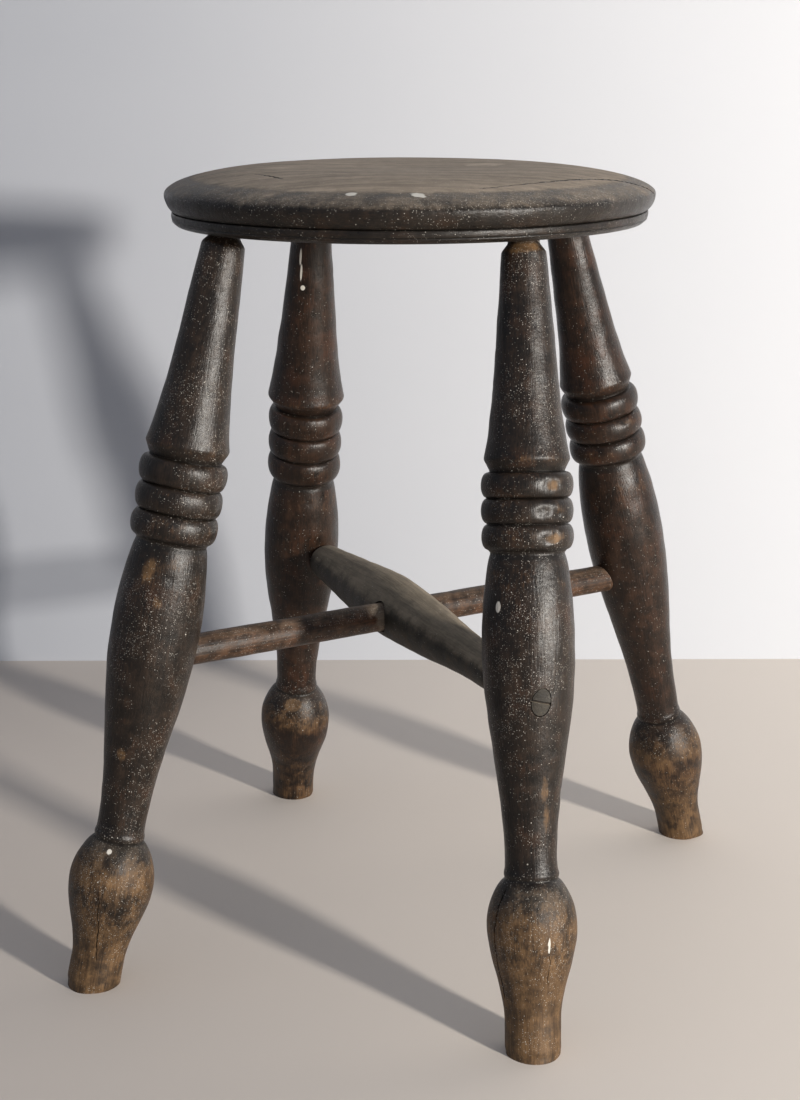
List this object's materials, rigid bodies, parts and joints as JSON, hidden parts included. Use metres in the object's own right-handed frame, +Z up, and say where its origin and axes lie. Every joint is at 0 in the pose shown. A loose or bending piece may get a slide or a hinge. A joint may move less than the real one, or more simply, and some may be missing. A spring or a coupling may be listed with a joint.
{
  "type": "stool",
  "caption": "Low round wooden stool: a gently domed turned seat on splayed turned legs with beads and bulb feet, braced by a swelled stretcher and a rod that passes through it.",
  "frame": {"origin": "on the floor under the middle of the seat", "axes": "+Z up; -Y to the front, between the two front legs; +X to the right of someone looking from the front"},
  "size_m": [0.3732, 0.4176, 0.5363],
  "materials": {
    "seat_wood": "dark stain worn to dusty grey brown on top",
    "leg_wood": "dark brown stain with a worn semi-gloss, bare brown at the feet",
    "barrel_wood": "dark stain worn matt and dusty",
    "rod_wood": "dark brown stain, satin",
    "wedge_wood": "dark stained end grain"
  },
  "bodies": {
    "root": {"seat": "seat_wood", "leg_front_right": "leg_wood", "leg_front_left": "leg_wood", "leg_back_left": "leg_wood", "leg_back_right": "leg_wood", "stretcher_barrel": "barrel_wood", "stretcher_rod": "rod_wood", "wedge_front_right": "wedge_wood", "wedge_back_left": "wedge_wood"}
  },
  "joints": []
}
